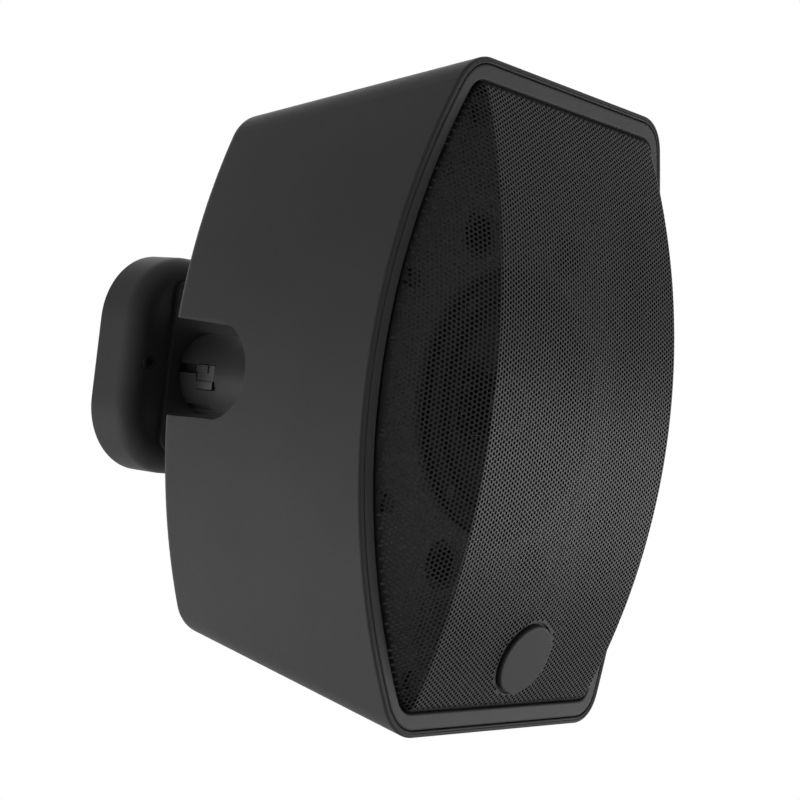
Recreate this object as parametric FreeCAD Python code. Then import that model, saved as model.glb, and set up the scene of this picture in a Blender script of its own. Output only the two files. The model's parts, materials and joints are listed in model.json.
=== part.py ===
"""Surface-mount speaker on a wall arm, one solid or group of like solids per piece.

Millimetres, +Z up. The wall is the plane y = 0, the origin is the centre of the wall plate's
back, and the speaker faces -Y. The arm is drawn with its axis at z = 0. The speaker is drawn
in its own frame, where y is the depth behind the corners of its front edge and z = 0 is its mid
height. Both are then lowered by the arm's drop below the middle of the plate.
"""
import FreeCAD
import Part
import math
import os

Vector = FreeCAD.Vector
X_AXIS = Vector(1, 0, 0)
Y_AXIS = Vector(0, 1, 0)
Z_AXIS = Vector(0, 0, 1)

# Cabinet outline and shell
height = 244.0
width = 180.0
side_bulge = 28.2
rear_bulge = 22.5
depth = 109.0
rear_height = 202.2
side_draft = 1.1
corner_radius = 17.0
front_recess = 7.8
wall = 3.2
rear_edge_radius = 4.0
rim_wall = 1.6
rim_edge_radius = 1.0
ledge_width = 7.0
ledge_depth = 4.0

# Baffle with its bezel
rim_groove = 1.0
bezel_side = 4.9
bezel_top = 5.8
bezel_inner_radius = 7.5
bezel_edge_radius = 0.8
baffle_face = 14.0
baffle_plate = 4.5
gasket = 1.5
gasket_width = 3.6

# Grille sheet
sheet = 1.0
grille_gap = 0.8
grille_rise = 30.7
crease_half_width = 58.5
crease_bulge = 4.3
flank_angle = 52.2
crease_radius = 3.0
grille_seat_gap = 0.3
window = 9.0
window_pitch = 12.4
window_columns = 12
window_margin = 4.0

# Badge
badge_radius = 14.1
badge_inset = 19.4
badge_thickness = 2.3
badge_proud = 1.5
badge_edge_radius = 0.8
badge_gap = 0.9
badge_stem_radius = 3.0
seat_wall = 1.2
seat_bore_depth = 6.0

# Reflex ports and baffle screws
port_x = 28.5
port_z = 61.5
port_radius = 6.8
port_wall = 1.2
port_length = 34.0
side_screw_x = 65.5
side_screw_z = 40.0
end_screw_x = 39.4
end_screw_inset = 18.0
screw_radius = 1.75
screw_head_radius = 3.4
screw_head = 2.2
screw_length = 14.0
post_radius = 4.5
post_length = 42.0
post_rib = 3.0

# Woofer
flange_radius = 51.5
flange = 2.0
flange_land = 41.0
basket_wall = 1.9
basket_depth = 24.0
basket_floor = 1.6
magnet_plate_radius = 29.0
magnet_plate = 4.0
magnet_radius = 33.0
magnet_bore = 16.0
magnet = 11.0
pole_radius = 11.9
coil_inner_radius = 12.5
coil_wall = 0.5
coil_gap = 0.9
coil_top = 15.0
coil_bottom = 33.0
cone_radius = 36.5
cone_wall = 0.9
roll_wall = 0.6
spider_drop = 2.6
spider_wall = 0.6
woofer_screw_count = 4
woofer_screw_ring = 48.4
woofer_screw_radius = 1.5
woofer_screw_head_radius = 2.5
basket_window_count = 6
basket_window_angle = 40.0

# Tweeter carried in front of the pole
post_bore = 4.0
fit = 0.05
tweeter_radius = 12.0
tweeter_depth = 10.0
tweeter_wall = 1.5
tweeter_front = 0.4
tweeter_ring = 1.6
dome_radius = 7.6
dome_rise = 2.8
dome_wall = 0.5

# Rear channel, pan pin and arm
trough_clearance = 7.1
channel_half = 18.6
pin_radius = 4.0
pin_boss = 6.0
arm_drop = 1.8
arm_radius = 17.6
arm_wall = 4.5
arm_reach = 94.5
arm_flange_radius = 24.0
arm_flange = 4.0
knuckle_flat = 14.0
bush_wall = 1.9
bush_length = 10.0
bush_flange_radius = 10.0
running_gap = 0.3
slot_length = 10.7
slot_height = 4.1
slot_low = -0.5
slot_depth = 3.6
groove_length = 14.0
groove_radius = 1.8
groove_drop = 14.6
latch_length = 11.0
latch_height = 11.0
latch_low = -7.2
latch_plate = 2.4
latch_proud = 0.6
latch_gap = 0.3

# Wall plate
plate_width = 85.0
plate_height = 94.8
plate_depth = 24.0
plate_corner = 30.0
plate_edge = 9.0
plate_wall = 3.0
panel_side_inset = 19.5
panel_end_inset = 10.4
panel_corner = 6.0
panel_proud = 1.8
lock_inset = 9.3
lock_radius = 2.0
lock_head_radius = 3.4
lock_head = 2.6
lock_boss_radius = 5.5
retainer = 3.0
retainer_radius = 30.0
retainer_bore = 14.0
bracket = 2.5
bracket_side_gap = 7.5
bracket_end_gap = 4.4
bracket_corner = 8.0
bracket_bore = 16.0
wall_hole_spacing = 60.0
wall_hole_radius = 2.4
ear_length = 12.5
ear_width = 16.0
ear_screw_y = 7.0
ear_screw_radius = 1.75
ear_screw_head_radius = 3.1
ear_screw_head = 1.5
ear_screw_length = 8.0

# Parts on the inner and outer rear wall
terminal_z = -52.0
terminal_width = 72.0
terminal_height = 36.0
terminal_plate = 2.5
terminal_recess = 1.5
terminal_margin = 6.0
block_x = -12.0
block_width = 28.0
block_height = 12.0
block_front = 10.0
block_back = 8.0
block_ways = 4
block_hole_radius = 2.0
block_flange = 2.0
panel_screw_inset = 3.0
panel_screw_radius = 1.4
panel_screw_head_radius = 2.6
panel_screw_head = 1.6
switch_x = 17.0
switch_radius = 10.0
switch_length = 12.0
knob_radius = 8.5
knob_length = 9.0
knob_shaft_radius = 3.0
knob_grooves = 10
knob_groove_radius = 1.1
pointer_depth = 1.8
board_width = 48.0
board_height = 48.0
board_x = 34.0
board_z = 56.0
board = 1.6
standoff = 4.2
standoff_radius = 3.0
standoff_inset = 5.0
inductor_radius = 13.0
inductor_bore = 5.0
inductor_length = 12.0
inductor_x = -12.0
inductor_z = -9.6
bobbin_flange = 1.5
winding_sink = 1.0
capacitor_offsets = (5.8, 17.3)
capacitor_radius = 5.0
capacitor_length = 22.0
core_width = 42.0
core_height = 34.0
core_depth = 18.0
core_leg = 7.0
core_x = -35.0
core_z = 52.0
winding_overhang = 6.0
insert_z = 62.0
insert_radius = 4.5
insert_bore = 2.5
insert_length = 10.0
insert_boss_wall = 3.0

# Sizes that follow from the ones above
rim_inset = rim_wall + rim_groove
bezel_inset = rim_inset + bezel_side
bezel_inset_top = rim_inset + bezel_top
baffle_back = baffle_face + baffle_plate
seat_depth = baffle_back + gasket
rear_inside = depth - wall
grille_inset = bezel_inset + grille_gap
grille_inset_top = bezel_inset_top + grille_gap
grille_half_height = height / 2 - grille_inset_top
badge_height = badge_inset - grille_half_height
grille_front = front_recess - grille_rise
grille_back = baffle_face - grille_seat_gap
grille_sag = grille_rise - front_recess
grille_arc = (grille_half_height ** 2 + grille_sag ** 2) / (2 * grille_sag)
front_arc = ((height / 2) ** 2 + front_recess ** 2) / (2 * front_recess)
basket_front = baffle_face - flange
basket_back = basket_front + basket_depth
magnet_top = basket_back + basket_floor
magnet_seat = magnet_top + magnet_plate
yoke_top = magnet_seat + magnet
yoke_back = yoke_top + magnet_plate
plate_bore = coil_inner_radius + coil_wall + coil_gap
bush_seat_radius = bush_flange_radius + 2 * running_gap
pivot_depth = yoke_back + trough_clearance + wall + channel_half
pivot_y = -(plate_depth + arm_reach)
arm_root = -(plate_depth + panel_proud)
lock_x = plate_width / 2 - lock_inset
plate_inside_width = plate_width - 2 * plate_wall
plate_inside_height = plate_height - 2 * plate_wall
front_y = pivot_y - pivot_depth
port_hole = port_radius + port_wall
end_screws = [(sx * end_screw_x, sz * (height / 2 - end_screw_inset)) for sx in (-1, 1) for sz in (-1, 1)]
side_screws = [(sx * side_screw_x, sz * side_screw_z) for sx in (-1, 1) for sz in (-1, 1)]
ports = [(sx * port_x, sz * port_z) for sx in (-1, 1) for sz in (-1, 1)]
panel_front = depth - terminal_recess + terminal_plate
panel_back = depth - terminal_recess
board_back = rear_inside - standoff
board_front = board_back - board


def arc_edge(a, b, c):
    """Edge of the circle through three points."""
    return Part.Arc(a, b, c).toShape()


def cylinder(radius, start, direction, length):
    return Part.makeCylinder(radius, length, start, direction)


def tube(outer, inner, start, direction, length):
    return cylinder(outer, start, direction, length).cut(cylinder(inner, start, direction, length))


def block(x, y, z):
    """Box from three (low, high) pairs."""
    return Part.makeBox(x[1] - x[0], y[1] - y[0], z[1] - z[0], Vector(x[0], y[0], z[0]))


def centred(size, middle):
    """(low, high) pair about a middle."""
    return middle - size / 2, middle + size / 2


def turned(points, angle=360):
    """Solid turned about the Y axis from a closed (radius, y) profile."""
    corners = [Vector(r, y, 0) for r, y in points]
    face = Part.Face(Part.makePolygon(corners + corners[:1]))
    return face.revolve(Vector(), Y_AXIS, angle)


def moved(shape, offset):
    copy = shape.copy()
    copy.translate(offset)
    return copy


def group(solids):
    return Part.makeCompound(solids)


def rounded(shape, radius, wanted):
    """Shape with every edge that the test accepts rounded."""
    return shape.makeFillet(radius, [edge for edge in shape.Edges if wanted(edge)])


def rounded_plate(across, up, radius, y_low, y_high):
    """Upright plate with round corners, between two planes of y."""
    plate = block(centred(across, 0), (y_low, y_high), centred(up, 0))
    return rounded(plate, radius, lambda edge: abs(edge.tangentAt(edge.FirstParameter).y) > 0.9)


def in_plane_y(edge, y):
    return all(abs(edge.valueAt(t).y - y) < 0.01 for t in (edge.FirstParameter, edge.LastParameter))


def on_front(edge):
    """Whether an edge lies on the concave front of the cabinet and bezel."""
    for step in range(5):
        point = edge.valueAt(edge.FirstParameter + (edge.LastParameter - edge.FirstParameter) * step / 4)
        if abs(math.hypot(point.y - front_recess + front_arc, point.z) - front_arc) > 0.02:
            return False
    return True


def outline(at, inset, inset_top, radius):
    """Barrel outline of the cabinet at a depth, set in from its sides and ends."""
    share = at / depth
    full_half = (height + (rear_height - height) * share) / 2
    bulge = side_bulge + (rear_bulge - side_bulge) * share
    arc = (full_half ** 2 + bulge ** 2) / (2 * bulge) - inset
    half_width = width / 2 - side_draft * share - inset
    half_height = full_half - inset_top
    arc_centre = half_width - arc
    corner_x = arc_centre + math.sqrt((arc - radius) ** 2 - (half_height - radius) ** 2)
    corner_z = half_height - radius
    reach = Vector(corner_x - arc_centre, 0, corner_z).normalize()
    side_end = Vector(arc_centre, at, 0) + reach * arc
    corner_middle = Vector(corner_x, at, corner_z) + (reach + Z_AXIS).normalize() * radius
    top_end = Vector(corner_x, at, half_height)

    def mirror(point, sx, sz):
        return Vector(sx * point.x, at, sz * point.z)

    edges = []
    for side in (1, -1):
        low_end, high_end = mirror(side_end, side, -side), mirror(side_end, side, side)
        near_top, far_top = mirror(top_end, side, side), mirror(top_end, -side, side)
        edges.append(arc_edge(low_end, Vector(side * half_width, at, 0), high_end))
        edges.append(arc_edge(high_end, mirror(corner_middle, side, side), near_top))
        edges.append(Part.makeLine(near_top, far_top))
        edges.append(arc_edge(far_top, mirror(corner_middle, -side, side), mirror(side_end, -side, side)))
    return Part.Wire(edges)


def tub(start, end, inset=0.0, inset_top=None, radius=None):
    """Solid between two depths that follows the cabinet's outline and taper, set in from it."""
    if inset_top is None:
        inset_top = inset
    if radius is None:
        radius = max(corner_radius - inset, wall)
    return Part.makeLoft([outline(at, inset, inset_top, radius) for at in (start, end)], True, True)


def front_scoop():
    """Material in front of the concave front edge."""
    return cylinder(front_arc, Vector(-width, front_recess - front_arc, 0), X_AXIS, 2 * width)


def channel(half, length):
    """Half-round trough across the back, open to the rear."""
    high = Vector(-length / 2, depth + 1, half)
    high_in = Vector(-length / 2, pivot_depth, half)
    inner = Vector(-length / 2, pivot_depth - half, 0)
    low_in = Vector(-length / 2, pivot_depth, -half)
    low = Vector(-length / 2, depth + 1, -half)
    edges = [
        Part.makeLine(high, high_in),
        arc_edge(high_in, inner, low_in),
        Part.makeLine(low_in, low),
        Part.makeLine(low, high),
    ]
    return Part.Face(Part.Wire(edges)).extrude(X_AXIS * length)


def screw_posts():
    """Posts for the baffle screws, each joined by a rib to the wall beside it."""
    low, high = baffle_back, baffle_back + post_length
    solids = []
    for x, z in side_screws + end_screws:
        solids.append(cylinder(post_radius, Vector(x, low, z), Y_AXIS, post_length))
    for x, z in side_screws:
        outward = sorted((x, math.copysign(width / 2, x)))
        solids.append(block(outward, (seat_depth, high), centred(post_rib, z)))
    for x, z in end_screws:
        outward = sorted((z, math.copysign(height / 2, z)))
        solids.append(block(centred(post_rib, x), (seat_depth, high), outward))
    return solids


def make_cabinet():
    outer = rounded(tub(0, depth), rear_edge_radius, lambda edge: in_plane_y(edge, depth))
    body = rounded(outer.cut(front_scoop()), rim_edge_radius, on_front)
    body = body.cut(tub(-1, seat_depth, rim_wall))
    body = body.cut(tub(seat_depth, seat_depth + ledge_depth, ledge_width))
    body = body.cut(tub(seat_depth + ledge_depth, rear_inside, wall))
    posts = [post.common(outer) for post in screw_posts()]
    boss_low = -channel_half - wall - pin_boss
    pin_bosses = cylinder(bush_seat_radius + wall, Vector(0, pivot_depth, boss_low), Z_AXIS, -2 * boss_low)
    insert_boss = cylinder(insert_radius + insert_boss_wall, Vector(0, depth - insert_length - 1, insert_z),
                           Y_AXIS, insert_length - wall + 1)
    standoffs = [cylinder(standoff_radius, Vector(x, board_back, z), Y_AXIS, standoff)
                 for x in centred(board_width - 2 * standoff_inset, board_x)
                 for z in centred(board_height - 2 * standoff_inset, board_z)]
    trough = channel(channel_half + wall, width + 1).common(outer)
    body = body.multiFuse(posts + [trough, pin_bosses, insert_boss] + standoffs)
    cuts = [
        channel(channel_half, width + 2),
        cylinder(bush_seat_radius, Vector(0, pivot_depth, -channel_half), Z_AXIS, 2 * channel_half),
        cylinder(pin_radius + fit, Vector(0, pivot_depth, boss_low + wall), Z_AXIS, -2 * (boss_low + wall)),
        cylinder(insert_radius + fit, Vector(0, depth - insert_length, insert_z), Y_AXIS, insert_length),
        block(centred(terminal_width, 0), (panel_back, depth), centred(terminal_height, terminal_z)),
        block(centred(terminal_width - 2 * terminal_margin, 0), (rear_inside - 1, depth),
              centred(terminal_height - 2 * terminal_margin, terminal_z)),
    ]
    for x, z in side_screws + end_screws:
        cuts.append(cylinder(screw_radius + fit, Vector(x, baffle_back, z), Y_AXIS, screw_length + fit))
    for x, z in panel_screw_places():
        cuts.append(cylinder(panel_screw_radius + fit, Vector(x, rear_inside - 1, z), Y_AXIS, wall + 1))
    return body.cut(group(cuts))


def make_baffle():
    body = tub(0, baffle_back, rim_inset).cut(front_scoop())
    body = body.cut(tub(-1, baffle_face, bezel_inset, bezel_inset_top, bezel_inner_radius))
    body = rounded(body, bezel_edge_radius, on_front)
    cuts = [cylinder(woofer_hole(), Vector(0, baffle_face, 0), Y_AXIS, baffle_plate)]
    cuts += [cylinder(port_hole + fit, Vector(x, baffle_face, z), Y_AXIS, baffle_plate) for x, z in ports]
    for x, z in side_screws + end_screws:
        cuts.append(cylinder(screw_radius + fit, Vector(x, baffle_face, z), Y_AXIS, baffle_plate))
    for x, z in woofer_screw_places():
        cuts.append(cylinder(woofer_screw_radius + fit, Vector(x, baffle_face, z), Y_AXIS, baffle_plate))
    return body.cut(group(cuts))


def woofer_hole():
    """Radius of the baffle opening, just clear of the basket's cone."""
    return flange_land + 2 * basket_wall + running_gap


def woofer_screw_places():
    turns = [2 * math.pi * (step + 0.5) / woofer_screw_count for step in range(woofer_screw_count)]
    return [(woofer_screw_ring * math.cos(turn), woofer_screw_ring * math.sin(turn)) for turn in turns]


def panel_screw_places():
    return [(x, z) for x in centred(terminal_width - 2 * panel_screw_inset, 0)
            for z in centred(terminal_height - 2 * panel_screw_inset, terminal_z)]


def make_baffle_gasket():
    ring = tub(baffle_back, seat_depth, rim_inset)
    return ring.cut(tub(baffle_back - 1, seat_depth + 1, rim_inset + gasket_width))


def front_screw(x, z, seat, length, radius, head_radius):
    """Screw driven from the front, its head standing on the plane of its seat."""
    head = cylinder(head_radius, Vector(x, seat - screw_head, z), Y_AXIS, screw_head)
    return head.fuse(cylinder(radius, Vector(x, seat, z), Y_AXIS, length))


def make_baffle_screws():
    length = baffle_plate + screw_length
    return group([front_screw(x, z, baffle_face, length, screw_radius, screw_head_radius)
                  for x, z in side_screws + end_screws])


def flank_wedge(side, inward):
    """Material outside one flank of the grille, its face moved in along its normal."""
    angle = math.radians(flank_angle)
    slope = Vector(side * math.cos(angle), math.sin(angle), 0)
    normal = Vector(-side * math.sin(angle), math.cos(angle), 0)
    end_x = side * (crease_half_width - crease_bulge)
    end_y = grille_front + grille_sag
    crease = arc_edge(Vector(end_x, end_y, -grille_half_height),
                      Vector(side * crease_half_width, grille_front, 0),
                      Vector(end_x, end_y, grille_half_height))
    crease.translate(normal * inward - slope * grille_rise)
    return crease.extrude(slope * width).extrude(X_AXIS * side * width)


def dome(inward, back):
    """Solid under the formed sheet: barrel outline, arched front and two sloping flanks."""
    radius = bezel_inner_radius - grille_gap
    body = tub(grille_front - 1, back, grille_inset + inward, grille_inset_top + inward, radius)
    arch = cylinder(grille_arc - inward, Vector(-width, grille_front + grille_arc, 0), X_AXIS, 2 * width)
    body = body.common(arch)
    for side in (-1, 1):
        body = body.cut(flank_wedge(side, inward))
    creases = [Part.Vertex(side * crease_half_width, grille_front, 0) for side in (-1, 1)]
    reach = 2 * sheet
    return rounded(body, crease_radius - inward,
                   lambda edge: min(edge.distToShape(crease)[0] for crease in creases) < reach)


def badge_frame():
    """Centre of the badge on the grille's surface, and the outward direction there."""
    middle = Vector(0, grille_front + grille_arc, 0)
    lean = math.asin(badge_height / grille_arc)
    outward = Vector(0, -math.cos(lean), math.sin(lean))
    return middle + outward * grille_arc, outward


def seat_radius():
    """Radius of the pad behind the badge, wider than the grille's round hole."""
    return badge_radius + badge_gap + 3 * seat_wall


def window_is_clear(x, z):
    """Whether an opening of the grille stands clear of its rim, its creases and the badge's pad."""
    inner_x, outer_x = abs(x) - window / 2, abs(x) + window / 2
    outer_z = abs(z) + window / 2
    if outer_z > grille_half_height - window_margin:
        return False
    side_arc = ((height / 2) ** 2 + side_bulge ** 2) / (2 * side_bulge)
    side_x = width / 2 - side_arc + math.sqrt(side_arc ** 2 - outer_z ** 2)
    in_front = outer_x < crease_half_width - crease_bulge - window_margin
    on_flank = inner_x > crease_half_width + window_margin and outer_x < side_x - grille_inset - window_margin
    off_badge = math.hypot(x, z - badge_height) > seat_radius() + window
    return off_badge and (in_front or on_flank)


def grille_windows():
    """Cutters for a plain grid of openings through the formed sheet."""
    rows = int(2 * grille_half_height / window_pitch)
    columns = [(step + 0.5 - window_columns / 2) * window_pitch for step in range(window_columns)]
    heights = [(step + 0.5 - rows / 2) * window_pitch for step in range(rows)]
    return [block(centred(window, x), (grille_front - 1, grille_back), centred(window, z))
            for x in columns for z in heights if window_is_clear(x, z)]


def make_grille():
    body = dome(0, grille_back).cut(dome(sheet, grille_back + 1))
    centre, outward = badge_frame()
    hole = cylinder(badge_radius + badge_gap, centre - outward * badge_radius, outward, 2 * badge_radius)
    return body.cut(group(grille_windows() + [hole]))


def make_badge_seat():
    """Pad shaped to the back of the sheet behind its round hole, with a bore for the badge's stem."""
    centre, outward = badge_frame()
    pad_depth = seat_wall + seat_radius() ** 2 / (2 * grille_arc)
    back = centre - outward * (sheet + pad_depth)
    under_sheet = cylinder(grille_arc - sheet - fit, Vector(-width, grille_front + grille_arc, 0), X_AXIS,
                           2 * width)
    pad = cylinder(seat_radius(), back, outward, pad_depth).common(under_sheet)
    hub = cylinder(badge_stem_radius + seat_wall, back, -outward, seat_bore_depth)
    bore = cylinder(badge_stem_radius + fit, centre, -outward, sheet + pad_depth + seat_bore_depth)
    return pad.fuse(hub).cut(bore)


def make_badge_disc():
    centre, outward = badge_frame()
    back = centre + outward * (badge_proud - badge_thickness)
    disc = cylinder(badge_radius, back, outward, badge_thickness)
    front = centre + outward * badge_proud
    disc = rounded(disc, badge_edge_radius, lambda edge: abs((edge.CenterOfMass - front).dot(outward)) < 0.01)
    return disc.fuse(cylinder(badge_stem_radius, back, -outward, seat_bore_depth))


def make_port_tubes():
    flare = (port_hole + port_wall, baffle_face - port_wall)
    end = baffle_face + port_length
    profile = [flare, (flare[0], baffle_face), (port_hole, baffle_face), (port_hole, end), (port_radius, end),
               (port_radius, baffle_face)]
    one = turned(profile)
    return group([moved(one, Vector(x, 0, z)) for x, z in ports])


def make_woofer_basket():
    land = flange_land + 2 * basket_wall
    foot = magnet_plate_radius
    profile = [(flange_land, basket_front), (flange_radius, basket_front), (flange_radius, baffle_face),
               (land, baffle_face), (foot + basket_wall, basket_back), (foot + basket_wall, magnet_top),
               (plate_bore, magnet_top), (plate_bore, basket_back), (foot, basket_back),
               (land - basket_wall, baffle_face), (flange_land, baffle_face)]
    body = turned(profile)
    low = baffle_face + 2 * flange
    high = basket_back - 2 * flange
    reach = land + flange
    window = turned([(foot, low), (reach, low), (reach, high), (foot, high)], basket_window_angle)
    for step in range(basket_window_count):
        cutter = window.copy()
        cutter.rotate(Vector(), Y_AXIS, 360 * step / basket_window_count)
        body = body.cut(cutter)
    holes = [cylinder(woofer_screw_radius + fit, Vector(x, basket_front, z), Y_AXIS, flange)
             for x, z in woofer_screw_places()]
    return body.cut(group(holes))


def make_woofer_gasket():
    inner = flange_land + 2 * basket_wall + roll_wall
    ring = tube(flange_radius, inner, Vector(0, basket_front - flange, 0), Y_AXIS, flange)
    holes = [cylinder(woofer_screw_head_radius + fit, Vector(x, basket_front - flange, z), Y_AXIS, flange)
             for x, z in woofer_screw_places()]
    return ring.cut(group(holes))


def make_woofer_screws():
    length = flange + baffle_plate
    return group([front_screw(x, z, basket_front, length, woofer_screw_radius, woofer_screw_head_radius)
                  for x, z in woofer_screw_places()])


def roll_profile(inner, outer, land, y, thickness):
    """Half-roll section between two radii, with a flat land on each side."""
    middle = (inner + outer) / 2
    reach = (outer - inner) / 2
    turns = [math.pi * step / 8 for step in range(9)]
    top = [(middle - reach * math.cos(turn), y - thickness - reach * math.sin(turn)) for turn in turns]
    hollow = reach - thickness
    under = [(middle + hollow * math.cos(turn), y - hollow * math.sin(turn)) for turn in turns]
    return ([(inner - land, y), (inner - land, y - thickness)] + top
            + [(outer + land, y - thickness), (outer + land, y)] + under)


def make_woofer_surround():
    land = basket_wall - fit
    return turned(roll_profile(cone_radius, flange_land + basket_wall, land, basket_front, roll_wall))


def make_woofer_cone():
    neck = coil_inner_radius + coil_wall + fit
    rim_back = basket_front + cone_wall
    neck_front = basket_front + coil_top + 2 * cone_wall
    return turned([(neck, neck_front), (cone_radius - 2 * cone_wall, basket_front + fit),
                   (cone_radius, basket_front + fit), (cone_radius, rim_back),
                   (cone_radius - cone_wall, rim_back), (neck, neck_front + 2 * cone_wall)])


def make_voice_coil():
    top = basket_front + coil_top
    length = coil_bottom - coil_top
    return tube(coil_inner_radius + coil_wall, coil_inner_radius, Vector(0, top, 0), Y_AXIS, length)


def make_woofer_spider():
    inner = coil_inner_radius + coil_wall + fit
    outer = magnet_plate_radius - fit
    seat = basket_back - fit
    span = outer - inner
    front = [(inner, seat - spider_drop - spider_wall)]
    for step in range(1, 7):
        wave = spider_wall if step % 2 else -spider_wall
        front.append((inner + span * step / 8, seat - spider_drop * (1 - step / 8) - spider_wall + wave))
    front += [(outer - span / 8, seat - spider_wall), (outer, seat - spider_wall)]
    back = [(radius, y + spider_wall) for radius, y in reversed(front)]
    return turned(front + back)


def make_front_plate():
    return tube(magnet_plate_radius, plate_bore, Vector(0, magnet_top, 0), Y_AXIS, magnet_plate)


def make_magnet_ring():
    return tube(magnet_radius, magnet_bore, Vector(0, magnet_seat, 0), Y_AXIS, magnet)


def make_pole_yoke():
    return turned([(post_bore, magnet_top), (pole_radius, magnet_top), (pole_radius, yoke_top),
                   (magnet_plate_radius, yoke_top), (magnet_plate_radius, yoke_back), (post_bore, yoke_back)])


def make_tweeter_post():
    seat = basket_front + tweeter_front + tweeter_ring + tweeter_depth
    shoulder = tweeter_radius - 2 * tweeter_wall
    stem = post_bore - fit
    return turned([(0, seat), (shoulder, seat), (shoulder, seat + tweeter_wall),
                   (stem, magnet_top - tweeter_wall), (stem, yoke_back), (0, yoke_back)])


def make_tweeter_housing():
    front = basket_front + tweeter_front + tweeter_ring
    back = front + tweeter_depth
    inner = tweeter_radius - tweeter_wall
    return turned([(0, back), (tweeter_radius, back), (tweeter_radius, front), (inner, front),
                   (inner, back - tweeter_wall), (0, back - tweeter_wall)])


def make_tweeter_ring():
    front = basket_front + tweeter_front
    back = front + tweeter_ring
    return turned([(dome_radius, back), (dome_radius + tweeter_wall, front), (tweeter_radius, front),
                   (tweeter_radius, back)])


def make_tweeter_dome():
    seat = basket_front + tweeter_front + tweeter_ring
    rim = tweeter_radius - tweeter_wall - fit
    curve = (dome_radius ** 2 + dome_rise ** 2) / (2 * dome_rise)
    spread = math.asin(dome_radius / curve)
    turns = [spread * step / 6 for step in range(7)]
    middle = seat - dome_rise + curve
    top = [(curve * math.sin(turn), middle - curve * math.cos(turn)) for turn in turns]
    inner = curve - dome_wall
    under = [(inner * math.sin(turn), middle - inner * math.cos(turn)) for turn in reversed(turns)]
    return turned(top + [(rim, seat), (rim, seat + dome_wall)] + under)


def make_crossover_board():
    return block(centred(board_width, board_x), (board_front, board_back), centred(board_height, board_z))


def make_crossover_coil():
    start = Vector(board_x + inductor_x, board_front - inductor_length, board_z + inductor_z)
    bobbin = tube(inductor_radius, inductor_bore, start, Y_AXIS, inductor_length)
    groove = tube(inductor_radius + 1, inductor_radius - winding_sink, start + Y_AXIS * bobbin_flange, Y_AXIS,
                  inductor_length - 2 * bobbin_flange)
    return bobbin.cut(groove)


def make_crossover_capacitors():
    solids = []
    for offset in capacitor_offsets:
        start = Vector(board_x + offset, board_front - capacitor_radius, board_z - capacitor_length / 2)
        solids.append(cylinder(capacitor_radius, start, Z_AXIS, capacitor_length))
    return group(solids)


def transformer_windows():
    """The two openings of the laminated core, each side of its middle leg."""
    window_width = (core_width - 4 * core_leg) / 2
    offset = core_leg + window_width / 2
    return [(core_x + side * offset, window_width) for side in (-1, 1)]


def make_transformer_core():
    depth_range = (rear_inside - core_depth, rear_inside)
    body = block(centred(core_width, core_x), depth_range, centred(core_height, core_z))
    window_height = centred(core_height - 2 * core_leg, core_z)
    for middle, window_width in transformer_windows():
        body = body.cut(block(centred(window_width, middle), depth_range, window_height))
    return body


def make_transformer_coil():
    window_width = (core_width - 4 * core_leg) / 2
    z_range = centred(core_height - 2 * core_leg - 2 * fit, core_z)
    outer = block(centred(2 * core_leg + 2 * window_width - 2 * fit, core_x),
                  (rear_inside - core_depth - winding_overhang, rear_inside - fit), z_range)
    core_front = rear_inside - core_depth - fit
    leg = block(centred(2 * core_leg + 2 * fit, core_x), (core_front, rear_inside), z_range)
    return outer.cut(leg)


def make_terminal_panel():
    plate = block(centred(terminal_width - 2 * fit, 0), (panel_back, panel_front),
                  centred(terminal_height - 2 * fit, terminal_z))
    shaft_hole = Vector(switch_x, panel_back, terminal_z)
    cuts = [
        block(centred(block_width + 2 * fit, block_x), (panel_back, panel_front),
              centred(block_height + 2 * fit, terminal_z)),
        cylinder(knob_shaft_radius + running_gap, shaft_hole, Y_AXIS, terminal_plate),
    ]
    for x, z in panel_screw_places():
        cuts.append(cylinder(panel_screw_radius + fit, Vector(x, panel_back, z), Y_AXIS, terminal_plate))
    return plate.cut(group(cuts))


def make_terminal_block():
    body = block(centred(block_width, block_x), (panel_back - block_front, panel_front + block_back),
                 centred(block_height, terminal_z))
    flange_plate = block(centred(block_width + 2 * block_flange, block_x),
                         (panel_back - block_flange, panel_back),
                         centred(block_height + 2 * block_flange, terminal_z))
    body = body.fuse(flange_plate)
    pitch = block_width / block_ways
    holes = []
    for way in range(block_ways):
        x = block_x + pitch * (way + 0.5 - block_ways / 2)
        entry = Vector(x, panel_front, terminal_z)
        holes.append(cylinder(block_hole_radius, entry, Y_AXIS, block_back))
        holes.append(cylinder(block_hole_radius, entry + Y_AXIS * block_back / 2, Z_AXIS, block_height))
    return body.cut(group(holes))


def make_panel_screws():
    solids = []
    for x, z in panel_screw_places():
        head = cylinder(panel_screw_head_radius, Vector(x, panel_front, z), Y_AXIS, panel_screw_head)
        length = panel_front - rear_inside + 1
        solids.append(head.fuse(cylinder(panel_screw_radius, Vector(x, panel_front, z), -Y_AXIS, length)))
    return group(solids)


def make_tap_switch():
    start = Vector(switch_x, panel_back - switch_length, terminal_z)
    body = cylinder(switch_radius, start, Y_AXIS, switch_length)
    bore_start = start + Y_AXIS * (switch_length / 3)
    return body.cut(cylinder(knob_shaft_radius + fit, bore_start, Y_AXIS, switch_length))


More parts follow.
